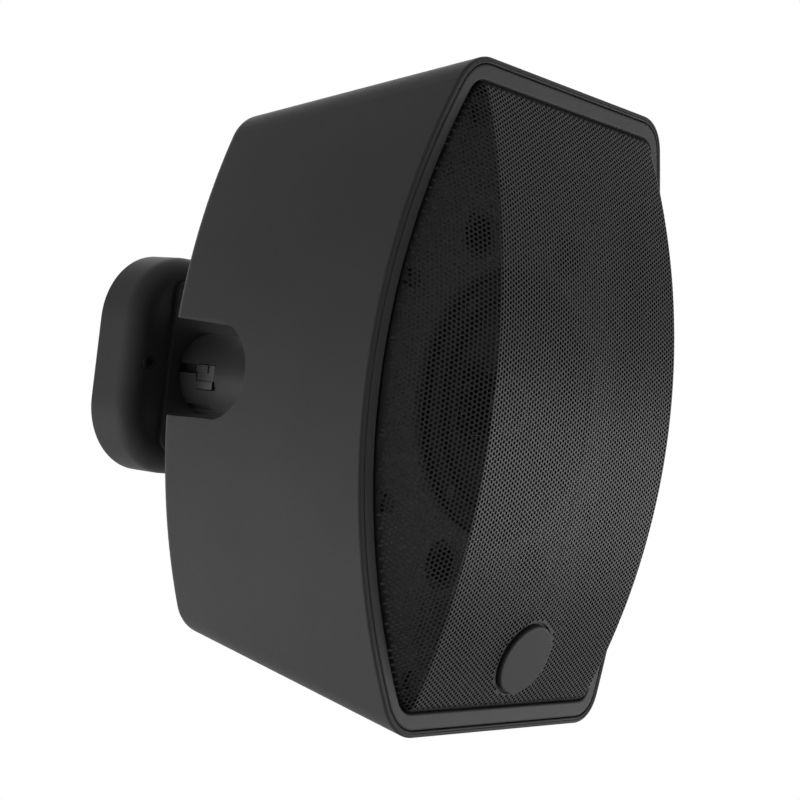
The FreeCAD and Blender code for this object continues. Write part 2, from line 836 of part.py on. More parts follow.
def make_tap_knob():
    shaft_start = Vector(switch_x, panel_back - switch_length * 2 / 3 + running_gap, terminal_z)
    base = Vector(switch_x, panel_front + running_gap, terminal_z)
    knob = cylinder(knob_radius, base, Y_AXIS, knob_length)
    for step in range(knob_grooves):
        turn = 2 * math.pi * (step + 0.5) / knob_grooves
        place = base + Vector(math.cos(turn), 0, math.sin(turn)) * knob_radius
        knob = knob.cut(cylinder(knob_groove_radius, place, Y_AXIS, knob_length))
    top = base.y + knob_length
    pointer = block(centred(2 * knob_groove_radius, switch_x), (top - pointer_depth, top),
                    (terminal_z, terminal_z + knob_radius))
    return knob.cut(pointer).fuse(cylinder(knob_shaft_radius, shaft_start, Y_AXIS, base.y - shaft_start.y))


def make_safety_insert():
    return tube(insert_radius, insert_bore, Vector(0, depth - insert_length, insert_z), Y_AXIS, insert_length)


def make_pan_pin():
    end = channel_half + pin_boss - fit
    return cylinder(pin_radius, Vector(0, pivot_depth, -end), Z_AXIS, 2 * end)


def make_mount_arm():
    pivot = Vector(0, pivot_y, 0)
    flange_front = -plate_depth + plate_wall + running_gap
    body = cylinder(arm_radius, pivot, Y_AXIS, flange_front - pivot_y)
    flange_plate = cylinder(arm_flange_radius, Vector(0, flange_front, 0), Y_AXIS, arm_flange)
    body = body.multiFuse([Part.makeSphere(arm_radius, pivot), flange_plate])
    bush_radius = pin_radius + fit + bush_wall
    bore_start = pivot_y + arm_radius + arm_wall
    latch_end = arm_root - slot_length
    groove_start = Vector(-math.sqrt(arm_radius ** 2 - groove_drop ** 2), arm_root, -groove_drop)
    cuts = [
        cylinder(arm_radius - arm_wall, Vector(0, bore_start, 0), Y_AXIS, -bore_start),
        cylinder(bush_radius, pivot - Z_AXIS * arm_radius, Z_AXIS, 2 * arm_radius),
        cylinder(bush_seat_radius, pivot + Z_AXIS * knuckle_flat, Z_AXIS, arm_radius),
        cylinder(bush_seat_radius, pivot - Z_AXIS * knuckle_flat, -Z_AXIS, arm_radius),
        block((-arm_radius - 1, -arm_radius + slot_depth), (latch_end, arm_root),
              (slot_low, slot_low + slot_height)),
        cylinder(groove_radius, groove_start, -Y_AXIS, groove_length),
        block((-arm_radius - 1, -arm_radius + latch_plate + latch_gap), (latch_end - latch_length, latch_end),
              (latch_low, latch_low + latch_height)),
    ]
    return body.cut(group(cuts))


def make_arm_latch():
    """Spring catch in a pocket beside the slot: a plate with an upper and a lower lug."""
    latch_end = arm_root - slot_length
    y_range = (latch_end - latch_length + latch_gap, latch_end - latch_gap)
    back = -arm_radius + latch_plate + latch_gap
    front = back - latch_plate
    plate = block((front, back), y_range, (latch_low + latch_gap, latch_low + latch_height - latch_gap))
    lug = latch_height / 3
    upper = block((front - latch_proud, front), (y_range[0] + lug, y_range[1]),
                  (latch_low + latch_height - lug, latch_low + latch_height - latch_gap))
    lower = block((front - latch_proud, front), y_range, (latch_low + latch_gap, latch_low + lug))
    return plate.multiFuse([upper, lower])


def make_pan_bush(side):
    """Flanged bush in the knuckle, above (+1) or below (-1), up to just short of the channel's face."""
    pivot = Vector(0, pivot_y, 0)
    direction = Z_AXIS * side
    bore = pin_radius + fit
    face = channel_half - running_gap
    flat = pivot + direction * knuckle_flat
    sleeve = tube(bore + bush_wall, bore, flat - direction * bush_length, direction, bush_length)
    flange_plate = tube(bush_flange_radius, bore, flat, direction, face - knuckle_flat)
    return sleeve.fuse(flange_plate)


def make_mount_cover():
    body = rounded_plate(plate_width, plate_height, plate_corner, -plate_depth, 0)
    body = rounded(body, plate_edge, lambda edge: in_plane_y(edge, -plate_depth))
    face = -plate_depth + plate_wall
    inside = rounded_plate(plate_inside_width, plate_inside_height, plate_corner - plate_wall, face, 0)
    inside = rounded(inside, plate_edge - plate_wall, lambda edge: in_plane_y(edge, face))
    panel_width = plate_width - 2 * panel_side_inset
    panel_height = plate_height - 2 * panel_end_inset
    panel = rounded_plate(panel_width, panel_height, panel_corner, arm_root, face - plate_wall / 2)
    body = body.fuse(panel).cut(inside)
    boss_length = retainer_front() - face
    bosses = [cylinder(lock_boss_radius, Vector(side * lock_x, face, 0), Y_AXIS, boss_length)
              for side in (-1, 1)]
    body = body.multiFuse(bosses)
    cuts = [
        cylinder(arm_radius + fit, Vector(0, arm_root, -arm_drop), Y_AXIS, -arm_root),
    ]
    for side in (-1, 1):
        lock_start = Vector(side * lock_x, -plate_depth, 0)
        cuts.append(cylinder(lock_radius + fit, lock_start, Y_AXIS, plate_depth))
        cuts.append(cylinder(lock_head_radius + fit, lock_start, Y_AXIS, lock_head))
        edge_start = Vector(0, -ear_screw_y, side * plate_height / 2)
        cuts.append(cylinder(ear_screw_radius + fit, edge_start, Z_AXIS * -side, plate_wall))
        cuts.append(cylinder(ear_screw_head_radius + fit, edge_start, Z_AXIS * -side, ear_screw_head))
    return body.cut(group(cuts))


def retainer_front():
    """Front face of the retainer, one running gap behind the arm's flange."""
    return -plate_depth + plate_wall + arm_flange + 2 * running_gap


def make_arm_retainer():
    start = Vector(0, retainer_front(), 0)
    ears = block(centred(2 * lock_x + 2 * lock_boss_radius, 0), (start.y, start.y + retainer),
                 centred(2 * lock_boss_radius, 0))
    body = cylinder(retainer_radius, start, Y_AXIS, retainer).fuse(ears)
    cuts = [cylinder(retainer_bore, start - Z_AXIS * arm_drop, Y_AXIS, retainer)]
    for side in (-1, 1):
        cuts.append(cylinder(lock_radius + fit, start + X_AXIS * side * lock_x, Y_AXIS, retainer))
    return body.cut(group(cuts))


def make_lock_screws():
    solids = []
    length = retainer_front() + retainer + plate_depth
    for side in (-1, 1):
        start = Vector(side * lock_x, -plate_depth, 0)
        head = cylinder(lock_head_radius, start, Y_AXIS, lock_head)
        screw = head.fuse(cylinder(lock_radius, start, Y_AXIS, length))
        solids.append(screw.cut(cylinder(lock_radius, start, Y_AXIS, lock_head / 2)))
    return group(solids)


def make_wall_bracket():
    body = rounded_plate(plate_inside_width - 2 * bracket_side_gap, plate_inside_height - 2 * bracket_end_gap,
                         bracket_corner, -bracket, 0)
    pieces = [block(centred(ear_width, 0), (-bracket, 0), centred(plate_inside_height, 0))]
    for side in (-1, 1):
        ear_end = side * plate_inside_height / 2
        ear = sorted((ear_end, ear_end - side * bracket))
        pieces.append(block(centred(ear_width, 0), (-ear_length, 0), ear))
    body = body.multiFuse(pieces)
    cuts = [cylinder(bracket_bore, Vector(0, -bracket, 0), Y_AXIS, bracket)]
    cuts += [cylinder(wall_hole_radius, Vector(0, -bracket, z), Y_AXIS, bracket)
             for z in centred(wall_hole_spacing, 0)]
    ear_line = Vector(0, -ear_screw_y, -plate_height)
    cuts.append(cylinder(ear_screw_radius + fit, ear_line, Z_AXIS, 2 * plate_height))
    return body.cut(group(cuts))


def make_cover_screws():
    solids = []
    for side in (-1, 1):
        start = Vector(0, -ear_screw_y, side * plate_height / 2)
        inward = Z_AXIS * -side
        head = cylinder(ear_screw_head_radius, start, inward, ear_screw_head)
        shank = cylinder(ear_screw_radius, start + inward * ear_screw_head, inward, ear_screw_length)
        solids.append(head.fuse(shank))
    return group(solids)


SPEAKER = {
    "cabinet": make_cabinet,
    "front_baffle": make_baffle,
    "baffle_gasket": make_baffle_gasket,
    "baffle_screws": make_baffle_screws,
    "grille": make_grille,
    "badge_seat": make_badge_seat,
    "badge_disc": make_badge_disc,
    "port_tubes": make_port_tubes,
    "woofer_basket": make_woofer_basket,
    "woofer_gasket": make_woofer_gasket,
    "woofer_screws": make_woofer_screws,
    "woofer_surround": make_woofer_surround,
    "woofer_cone": make_woofer_cone,
    "voice_coil": make_voice_coil,
    "woofer_spider": make_woofer_spider,
    "front_plate": make_front_plate,
    "magnet_ring": make_magnet_ring,
    "pole_yoke": make_pole_yoke,
    "tweeter_post": make_tweeter_post,
    "tweeter_housing": make_tweeter_housing,
    "tweeter_ring": make_tweeter_ring,
    "tweeter_dome": make_tweeter_dome,
    "crossover_board": make_crossover_board,
    "crossover_coil": make_crossover_coil,
    "crossover_capacitors": make_crossover_capacitors,
    "transformer_core": make_transformer_core,
    "transformer_coil": make_transformer_coil,
    "terminal_panel": make_terminal_panel,
    "terminal_block": make_terminal_block,
    "panel_screws": make_panel_screws,
    "tap_switch": make_tap_switch,
    "tap_knob": make_tap_knob,
    "safety_insert": make_safety_insert,
    "pan_pin": make_pan_pin,
}

ARM = {
    "mount_arm": make_mount_arm,
    "arm_latch": make_arm_latch,
    "pan_bush_upper": lambda: make_pan_bush(1),
    "pan_bush_lower": lambda: make_pan_bush(-1),
}

MOUNT = {
    "mount_cover": make_mount_cover,
    "arm_retainer": make_arm_retainer,
    "lock_screws": make_lock_screws,
    "wall_bracket": make_wall_bracket,
    "cover_screws": make_cover_screws,
}


def main():
    os.makedirs("parts", exist_ok=True)
    places = [(SPEAKER, Vector(0, front_y, -arm_drop)), (ARM, Vector(0, 0, -arm_drop)), (MOUNT, Vector())]
    for pieces, place in places:
        for name, make in pieces.items():
            moved(make(), place).exportStep(f"parts/{name}.step")


main()
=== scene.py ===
"""Looks of the surface-mount speaker: finishes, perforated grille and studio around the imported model.

Lengths are metres in the part's own frame: the wall is y = 0, the speaker faces -Y and +Z is up.
"""
import bmesh
import bpy
import json
import math
import numpy as np
from mathutils import Matrix, Vector
from mathutils.geometry import delaunay_2d_cdt


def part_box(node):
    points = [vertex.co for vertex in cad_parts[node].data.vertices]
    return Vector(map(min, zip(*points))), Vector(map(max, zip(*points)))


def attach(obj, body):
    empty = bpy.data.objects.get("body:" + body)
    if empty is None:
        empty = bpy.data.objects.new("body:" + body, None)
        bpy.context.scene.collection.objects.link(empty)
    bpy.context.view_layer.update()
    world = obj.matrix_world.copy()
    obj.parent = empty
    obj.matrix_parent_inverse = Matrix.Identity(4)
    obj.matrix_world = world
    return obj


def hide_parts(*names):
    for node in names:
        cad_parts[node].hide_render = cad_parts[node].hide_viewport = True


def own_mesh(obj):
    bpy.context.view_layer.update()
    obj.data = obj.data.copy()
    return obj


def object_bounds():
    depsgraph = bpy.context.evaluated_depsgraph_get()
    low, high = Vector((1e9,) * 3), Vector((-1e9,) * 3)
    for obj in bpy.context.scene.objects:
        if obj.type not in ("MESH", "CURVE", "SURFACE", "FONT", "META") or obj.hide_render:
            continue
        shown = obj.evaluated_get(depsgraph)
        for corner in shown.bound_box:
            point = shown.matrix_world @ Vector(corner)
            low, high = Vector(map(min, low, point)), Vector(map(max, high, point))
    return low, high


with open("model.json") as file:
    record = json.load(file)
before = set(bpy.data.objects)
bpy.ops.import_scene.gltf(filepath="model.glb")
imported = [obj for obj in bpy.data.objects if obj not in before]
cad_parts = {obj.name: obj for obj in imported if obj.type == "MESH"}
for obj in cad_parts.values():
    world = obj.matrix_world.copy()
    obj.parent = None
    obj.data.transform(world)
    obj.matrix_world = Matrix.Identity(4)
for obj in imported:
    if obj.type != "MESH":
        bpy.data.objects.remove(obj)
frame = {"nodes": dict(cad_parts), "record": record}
cad_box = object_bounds()
nodes = frame["nodes"]

MM = 0.001

# Camera that matches the photograph
CAMERA_PLACE = (-0.55538, -0.60136, -0.01259)
CAMERA_HEADING = math.radians(50.082)
CAMERA_TILT = math.radians(0.679)
CAMERA_ROLL = math.radians(6.733)
CAMERA_LENS = 81.3675
CAMERA_SENSOR = 36.0

# Cabinet outline that the grille's rim and the lip follow
CABINET_FRONT = -204.0 * MM
CABINET_DEPTH = 109.0 * MM
CABINET_HEIGHT = 244.0 * MM
CABINET_WIDTH = 180.0 * MM
CABINET_CORNER = 17.0 * MM
SIDE_BULGE = 28.2 * MM
REAR_BULGE = 22.5 * MM
REAR_HEIGHT = 202.2 * MM
SIDE_DRAFT = 1.1 * MM
FRONT_RECESS = 7.8 * MM
FRONT_ARC = ((CABINET_HEIGHT / 2) ** 2 + FRONT_RECESS ** 2) / (2 * FRONT_RECESS)

# Lip in the groove around the bezel: (inset, depth behind the front) around its section, and points along it
LIP_SECTION = [(1.66 * MM, 0.3 * MM), (1.85 * MM, 0.1 * MM), (2.2 * MM, 0.1 * MM), (2.42 * MM, 0.3 * MM),
               (2.42 * MM, 3.0 * MM), (1.66 * MM, 3.0 * MM)]
LIP_STEPS = {"top": 12, "corner": 14, "side": 60}
LIP_ROUNDS = 4

# Formed grille sheet
SHEET = 0.5 * MM
ARCH_HALF = 112.8 * MM
ARCH_SAG = 22.9 * MM
CREASE_HALF_WIDTH = 58.5 * MM
CREASE_BULGE = 4.3 * MM
CREASE_RADIUS = 3.0 * MM
FLANK_ANGLE = math.radians(52.2)
BADGE_HOLE = 15.0 * MM
ROLL_WIDTH = 2.2 * MM
ROLL_DEPTH = 1.7 * MM
SLOPE_STEP = 0.02 * MM

# Rim of the sheet, set in from the cabinet's outline, and points along it
RIM_INSET = 8.6 * MM
RIM_INSET_TOP = 9.7 * MM
RIM_CORNER = 6.7 * MM
RIM_STEP = 0.9 * MM
RIM_CORNER_POINTS = 9
NOTCH_POINTS = 41
BELOW_NOTCH_POINTS = 6

# Perforation
HOLE_PITCH = 1.79 * MM
HOLE_RADIUS = 0.67 * MM
HOLE_SIDES = 6
HOLE_MARGIN = 0.3 * MM
INSIDE_ONLY = 1
MERGE_LIMIT = 1e-7

# Screw heads: sizes, then shares of a head's radius and height
PANEL_HEAD_RADIUS = 2.6 * MM
PANEL_HEAD = 1.6 * MM
COVER_HEAD = 1.5 * MM
HEAD_PROFILE = [(0, 1.0), (0.4, 0.96), (0.72, 0.82), (0.9, 0.6), (0.98, 0.35), (1.0, 0.1), (1.0, 0), (0, 0)]
HEAD_TURNS = 32
RECESS_WIDTH = 0.34
RECESS_LENGTH = 1.25
RECESS_TAPER = 1.35
RECESS_FLOOR = 0.35
SCREW_SPIN = 9.0
WELD = 0.002 * MM

# Marks around the tap knob
TAP_MARK = (0.7 * MM, 2.0 * MM, 0.3 * MM)
TAP_MARK_TAPER = 0.8
TAP_MARKS = 7
TAP_SWEEP = 75.0

# Inside
SPIDER_INNER = 13.05 * MM
SPIDER_CLOTH = 0.5 * MM
SPIDER_DROP = 2.6 * MM
SPIDER_WAVE = 0.6 * MM
SPIDER_WAVES = 5
SPIDER_WAVE_POINTS = 12
SPIDER_TURNS = 96
BAFFLE_FACE = CABINET_FRONT + 13.6 * MM
COIL_WINDING = CABINET_FRONT + 40.0 * MM

# What all finishes share: broad drift of colour, fine grain, and wear along edges
DRIFT_SIZE = 0.05
DRIFT_DETAIL = 4.0
DRIFT_SHARE = 0.08
GRAIN_DETAIL = 3.0
NOISE_RANGE = (0.3, 0.7)
ROUGHNESS_SPREAD = 0.06
EDGE_WIDTH = 0.4 * MM
EDGE_SAMPLES = 4
EDGE_LEAN = (0.995, 0.8)
EDGE_WEAR = 1.5
INNER_EDGE = 0.5 * MM

# Studio
FLOOR_DROP = 1.0
FLOOR_SIZE = 12.0
FLOOR_FADE = 1.6
FLOOR_GREY = 0.9
FLOOR_ROUGHNESS = 0.9
FLOOR_NEAR = 0.7
FLOOR_NEAR_WHITE = 0.6
AMBIENT = 0.06
LAMP_TARGET = Vector((0.0, -0.15, 0.0))

# Lamps: name, place, size and power in watts
LAMPS = [
    ("right", (0.92, -0.95, -0.18), 0.5, 5.4),
    ("right_low", (0.5, -0.8, -0.5), 0.6, 1.2),
    ("front", (0.2, -1.3, -0.25), 0.8, 2.0),
    ("left_back", (-0.92, 0.5, -0.55), 1.1, 12.0),
    ("right_back", (0.9, 0.7, 0.5), 1.3, 5.0),
    ("top", (0.0, -0.2, 1.3), 1.0, 2.5),
]


def new_material(name):
    """Empty principled material with its tree and shader."""
    material = bpy.data.materials.new(name)
    material.use_nodes = True
    tree = material.node_tree
    return material, tree, tree.nodes["Principled BSDF"]


def object_coords(tree):
    return tree.nodes.new("ShaderNodeTexCoord").outputs["Object"]


def noise(tree, coords, size, detail):
    """Noise whose features are about size across."""
    node = tree.nodes.new("ShaderNodeTexNoise")
    node.inputs["Scale"].default_value = 1.0 / size
    node.inputs["Detail"].default_value = detail
    tree.links.new(coords, node.inputs["Vector"])
    return node.outputs["Fac"]


def ramp(tree, factor, low, high):
    """Colour between two, by a noise value."""
    node = tree.nodes.new("ShaderNodeValToRGB")
    for element, place, colour in zip(node.color_ramp.elements, NOISE_RANGE, (low, high)):
        element.position = place
        element.color = (*colour, 1.0)
    tree.links.new(factor, node.inputs["Fac"])
    return node.outputs["Color"]


def spread(tree, factor, low, high):
    """Noise value mapped to a range."""
    node = tree.nodes.new("ShaderNodeMapRange")
    node.inputs["From Min"].default_value = NOISE_RANGE[0]
    node.inputs["From Max"].default_value = NOISE_RANGE[1]
    node.inputs["To Min"].default_value = low
    node.inputs["To Max"].default_value = high
    tree.links.new(factor, node.inputs["Value"])
    return node.outputs["Result"]


def bump(tree, shader, height, distance, normal):
    """Relief from a height, laid over a normal."""
    node = tree.nodes.new("ShaderNodeBump")
    node.inputs["Distance"].default_value = distance
    tree.links.new(height, node.inputs["Height"])
    tree.links.new(normal, node.inputs["Normal"])
    tree.links.new(node.outputs["Normal"], shader.inputs["Normal"])


def soft_edges(tree):
    """Normal rounded over the edges, and how far it leans there, which is where wear shows."""
    bevel = tree.nodes.new("ShaderNodeBevel")
    bevel.samples = EDGE_SAMPLES
    bevel.inputs["Radius"].default_value = EDGE_WIDTH
    geometry = tree.nodes.new("ShaderNodeNewGeometry")
    lean = tree.nodes.new("ShaderNodeVectorMath")
    lean.operation = "DOT_PRODUCT"
    tree.links.new(bevel.outputs["Normal"], lean.inputs[0])
    tree.links.new(geometry.outputs["Normal"], lean.inputs[1])
    worn = tree.nodes.new("ShaderNodeMapRange")
    worn.inputs["From Min"].default_value = EDGE_LEAN[0]
    worn.inputs["From Max"].default_value = EDGE_LEAN[1]
    tree.links.new(lean.outputs["Value"], worn.inputs["Value"])
    return bevel.outputs["Normal"], worn.outputs["Result"]


def blend(tree, factor, first, second):
    """Mix of two colours."""
    node = tree.nodes.new("ShaderNodeMix")
    node.data_type = "RGBA"
    sockets = {socket.identifier: socket for socket in node.inputs}
    tree.links.new(factor, sockets["Factor_Float"])
    tree.links.new(first, sockets["A_Color"])
    tree.links.new(second, sockets["B_Color"])
    return next(socket for socket in node.outputs if socket.identifier == "Result_Color")


def shade(colour, factor):
    return tuple(channel * factor for channel in colour)


def drifting(tree, drift, colour):
    """Colour that varies a little by broad noise."""
    return ramp(tree, drift, shade(colour, 1 - DRIFT_SHARE), shade(colour, 1 + DRIFT_SHARE))


def behind(tree, coords, depth):
    """0 in front of a depth of the part at rest, 1 behind it."""
    split = tree.nodes.new("ShaderNodeSeparateXYZ")
    tree.links.new(coords, split.inputs["Vector"])
    node = tree.nodes.new("ShaderNodeMapRange")
    node.inputs["From Min"].default_value = depth - INNER_EDGE
    node.inputs["From Max"].default_value = depth
    tree.links.new(split.outputs["Y"], node.inputs["Value"])
    return node.outputs["Result"]


def textured(name, colour, roughness, grain, relief, metallic=0.0, specular=0.5, inner=None):
    """Finish with broad colour drift, fine grain in its roughness and relief, and lightly worn edges.

    An inner (colour, depth) shows behind that depth of the part at rest: on the bezel it is painted light, a
    lighter tone on the baffle face that stands in for light falling through the grille; on the coil it is the
    copper winding.
    """
    material, tree, shader = new_material(name)
    coords = object_coords(tree)
    normal, worn = soft_edges(tree)
    drift = noise(tree, coords, DRIFT_SIZE, DRIFT_DETAIL)
    base = drifting(tree, drift, colour)
    rubbed = ramp(tree, drift, colour, shade(colour, EDGE_WEAR))
    surface = blend(tree, worn, base, rubbed)
    if inner is not None:
        tone, depth = inner
        # Colour behind the depth: painted light on the bezel's baffle face, the winding's copper on the coil
        bare = drifting(tree, drift, tone)
        surface = blend(tree, behind(tree, coords, depth), surface, bare)
    tree.links.new(surface, shader.inputs["Base Color"])
    fine = noise(tree, coords, grain, GRAIN_DETAIL)
    rough = spread(tree, fine, roughness - ROUGHNESS_SPREAD, roughness + ROUGHNESS_SPREAD)
    tree.links.new(rough, shader.inputs["Roughness"])
    shader.inputs["Metallic"].default_value = metallic
    shader.inputs["Specular IOR Level"].default_value = specular
    bump(tree, shader, fine, relief, normal)
    return material


# Material slot: colour, roughness, grain size, relief, and what else differs from the usual
FINISH_VALUES = {
    "cabinet_plastic": ((0.043, 0.0428, 0.0438), 0.55, 0.45 * MM, 0.05 * MM, {"specular": 0.12}),
    # The bezel's inner tone is painted light: the baffle face behind the front is painted lighter, standing
    # in for light through the grille's holes
    "bezel_plastic": ((0.054, 0.054, 0.0545), 0.5, 0.4 * MM, 0.03 * MM,
                      {"specular": 0.12, "inner": ((0.13, 0.13, 0.135), BAFFLE_FACE)}),
    "grille_paint": ((0.024, 0.024, 0.025), 0.38, 0.5 * MM, 0.03 * MM, {"specular": 0.15}),
    "badge_plastic": ((0.029, 0.029, 0.0294), 0.5, 0.3 * MM, 0.015 * MM, {"specular": 0.15}),
    "mount_plastic": ((0.035, 0.035, 0.0355), 0.55, 0.45 * MM, 0.05 * MM, {"specular": 0.12}),
    "arm_metal": ((0.029, 0.029, 0.0294), 0.45, 0.7 * MM, 0.04 * MM, {"specular": 0.12}),
    "foam_rubber": ((0.014, 0.014, 0.014), 0.8, 0.6 * MM, 0.08 * MM, {"specular": 0.2}),
    "black_screw": ((0.02, 0.02, 0.021), 0.5, 0.6 * MM, 0.02 * MM, {"specular": 0.2}),
    "zinc_steel": ((0.52, 0.53, 0.55), 0.3, 0.3 * MM, 0.01 * MM, {"metallic": 1.0}),
    "cone_polymer": ((0.012, 0.012, 0.013), 0.45, 0.5 * MM, 0.02 * MM, {"specular": 0.3}),
    "spider_cloth": ((0.3, 0.19, 0.07), 0.85, 0.5 * MM, 0.1 * MM, {"specular": 0.2}),
    "copper_wire": ((0.015, 0.015, 0.016), 0.35, 0.4 * MM, 0.1 * MM,
                    {"metallic": 0.8, "inner": ((0.5, 0.2, 0.08), COIL_WINDING)}),
    "ferrite": ((0.04, 0.04, 0.045), 0.6, 0.4 * MM, 0.05 * MM, {}),
    "tweeter_black": ((0.016, 0.016, 0.017), 0.4, 0.4 * MM, 0.02 * MM, {"specular": 0.3}),
    "dome_silk": ((0.016, 0.016, 0.016), 0.7, 0.3 * MM, 0.05 * MM, {"specular": 0.3}),
    "board_laminate": ((0.05, 0.12, 0.05), 0.5, 0.5 * MM, 0.02 * MM, {}),
    "film_capacitor": ((0.25, 0.12, 0.04), 0.3, 0.8 * MM, 0.03 * MM, {}),
    "core_steel": ((0.2, 0.2, 0.21), 0.45, 0.5 * MM, 0.05 * MM, {"metallic": 0.8}),
    "panel_plastic": ((0.024, 0.024, 0.025), 0.45, 0.4 * MM, 0.03 * MM, {"specular": 0.3}),
    "acetal": ((0.02, 0.02, 0.021), 0.3, 0.6 * MM, 0.01 * MM, {"specular": 0.4}),
    "insert_brass": ((0.6, 0.42, 0.16), 0.3, 0.3 * MM, 0.02 * MM, {"metallic": 1.0}),
}
FINISHES = {slot: textured(slot, *values, **more) for slot, (*values, more) in FINISH_VALUES.items()}


def finish_nodes():
    """Give each CAD node the finish of its material slot."""
    for subpart in frame["record"]["subparts"]:
        for slot in nodes[subpart["node"]].material_slots:
            slot.material = FINISHES[subpart["material_slot"]]


def mesh_of(name, points, faces):
    mesh = bpy.data.meshes.new(name)
    mesh.from_pydata(points, [], faces)
    return mesh


def placed(name, data):
    """New object in the scene."""
    piece = bpy.data.objects.new(name, data)
    bpy.context.scene.collection.objects.link(piece)
    return piece


def finished_piece(piece, body, slot, replaced=None):
    """Give a piece its finish and its body, and hide the node that it stands for."""
    piece.data.materials.append(FINISHES[slot])
    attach(piece, body)
    if replaced is not None:
        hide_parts(replaced)


grille_low, grille_high = (np.array(corner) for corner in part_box("grille"))
SPEAKER_Z = (grille_low[2] + grille_high[2]) / 2
ARCH_RADIUS = (ARCH_HALF ** 2 + ARCH_SAG ** 2) / (2 * ARCH_SAG)
CREASE_SAG = math.hypot(CREASE_BULGE, ARCH_SAG)
CREASE_CIRCLE = (ARCH_HALF ** 2 + CREASE_SAG ** 2) / (2 * CREASE_SAG)
BEND_START = CREASE_RADIUS * math.tan(FLANK_ANGLE / 2)
BEND_LENGTH = CREASE_RADIUS * FLANK_ANGLE


def crease_x(z):
    """Where the arched front and the flank would meet without their bend, at a height."""
    drop = CREASE_CIRCLE - np.sqrt(CREASE_CIRCLE ** 2 - z ** 2)
    line_x = CREASE_HALF_WIDTH - drop * CREASE_BULGE / CREASE_SAG
    line_y = drop * ARCH_SAG / CREASE_SAG
    arch_y = ARCH_RADIUS - np.sqrt(ARCH_RADIUS ** 2 - z ** 2)
    return line_x + (arch_y - line_y) / math.tan(FLANK_ANGLE)


def formed(across, along):
    """Points of the formed sheet's face from places on the flat sheet, right half."""
    turn = along / ARCH_RADIUS
    z = ARCH_RADIUS * np.sin(turn)
    bend_x = crease_x(z) - BEND_START
    past = across - bend_x
    angle = np.clip(past / CREASE_RADIUS, 0, FLANK_ANGLE)
    flank = np.maximum(past - BEND_LENGTH, 0)
    x = np.minimum(across, bend_x) + CREASE_RADIUS * np.sin(angle) + flank * math.cos(FLANK_ANGLE)
    y = ARCH_RADIUS * (1 - np.cos(turn)) + CREASE_RADIUS * (1 - np.cos(angle)) + flank * math.sin(FLANK_ANGLE)
    return np.stack([x, y + grille_low[1], z + SPEAKER_Z], axis=-1)


def inward(across, along):
    """Unit normals of the formed sheet, pointing into the speaker."""
    by_across = formed(across + SLOPE_STEP, along) - formed(across - SLOPE_STEP, along)
    by_along = formed(across, along + SLOPE_STEP) - formed(across, along - SLOPE_STEP)
    normal = np.cross(by_along, by_across)
    return normal / np.linalg.norm(normal, axis=-1, keepdims=True)


def flattened(x, z):
    """Place on the flat sheet of a point given by its x and its height above the speaker's middle."""
    bend_x = crease_x(z) - BEND_START
    bend_end = bend_x + CREASE_RADIUS * math.sin(FLANK_ANGLE)
    if x <= bend_x:
        across = x
    elif x <= bend_end:
        across = bend_x + CREASE_RADIUS * math.asin((x - bend_x) / CREASE_RADIUS)
    else:
        across = bend_x + BEND_LENGTH + (x - bend_end) / math.cos(FLANK_ANGLE)
    return across, ARCH_RADIUS * math.asin(z / ARCH_RADIUS)


def barrel(y, inset, inset_top, corner):
    """Side arc and corner centre of the cabinet's outline at a depth of y, set in from it, upper right."""
    share = (y - CABINET_FRONT) / CABINET_DEPTH
    full_half = (CABINET_HEIGHT + (REAR_HEIGHT - CABINET_HEIGHT) * share) / 2
    bulge = SIDE_BULGE + (REAR_BULGE - SIDE_BULGE) * share
    arc = (full_half ** 2 + bulge ** 2) / (2 * bulge) - inset
    arc_centre = CABINET_WIDTH / 2 - SIDE_DRAFT * share - inset - arc
    corner_z = full_half - inset_top - corner
    corner_x = arc_centre + math.sqrt((arc - corner) ** 2 - corner_z ** 2)
    return arc, arc_centre, corner_x, corner_z


def rim_quarter():
    """Flat-sheet points of the upper right quarter of the rim, from the top middle to mid height."""
    top_depth = formed(np.array(0.0), np.array(ARCH_HALF))[1]
    arc, arc_centre, corner_x, corner_z = barrel(top_depth, RIM_INSET, RIM_INSET_TOP, RIM_CORNER)
    top = corner_z + RIM_CORNER
    points = [(x, top) for x in np.linspace(0, corner_x, round(corner_x / RIM_STEP))]
    side_turn = math.asin(corner_z / (arc - RIM_CORNER))
    for turn in np.linspace(math.pi / 2, side_turn, RIM_CORNER_POINTS)[1:]:
        points.append((corner_x + RIM_CORNER * math.cos(turn), corner_z + RIM_CORNER * math.sin(turn)))
    for turn in np.linspace(side_turn, 0, round(arc * side_turn / RIM_STEP))[1:]:
        points.append((arc_centre + arc * math.cos(turn), arc * math.sin(turn)))
    return [flattened(x, z) for x, z in points]


def half_outline():
    """Closed flat-sheet outline of the right half, the rim first, and how many points the rim has.

    After the rim comes the middle line, from the bottom up, with the badge's notch.
    """
    quarter = rim_quarter()
    rim = quarter + [(across, -along) for across, along in reversed(quarter[:-1])]
    top, bottom = rim[0][1], rim[-1][1]
    badge_z = (np.array(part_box("badge_disc"))[:, 2].mean()) - SPEAKER_Z
    badge = ARCH_RADIUS * math.asin(badge_z / ARCH_RADIUS)
    notch_turns = np.linspace(-math.pi / 2, math.pi / 2, NOTCH_POINTS)
    notch = [(BADGE_HOLE * math.cos(turn), badge + BADGE_HOLE * math.sin(turn)) for turn in notch_turns]
    notch[0] = (0.0, notch[0][1])
    notch[-1] = (0.0, notch[-1][1])
    low = [(0.0, along) for along in np.linspace(bottom, notch[0][1], BELOW_NOTCH_POINTS)[1:-1]]
    high_count = round((top - notch[-1][1]) / RIM_STEP)
    high = [(0.0, along) for along in np.linspace(notch[-1][1], top, high_count)[1:-1]]
    return rim + low + notch + high, len(rim)


def distance_from(points, start, end):
    """How far points of the flat sheet lie from the straight line between two places."""
    span = end - start
    share = np.clip(((points - start) @ span) / (span @ span), 0, 1)
    return np.linalg.norm(points - start - share[:, None] * span, axis=1)


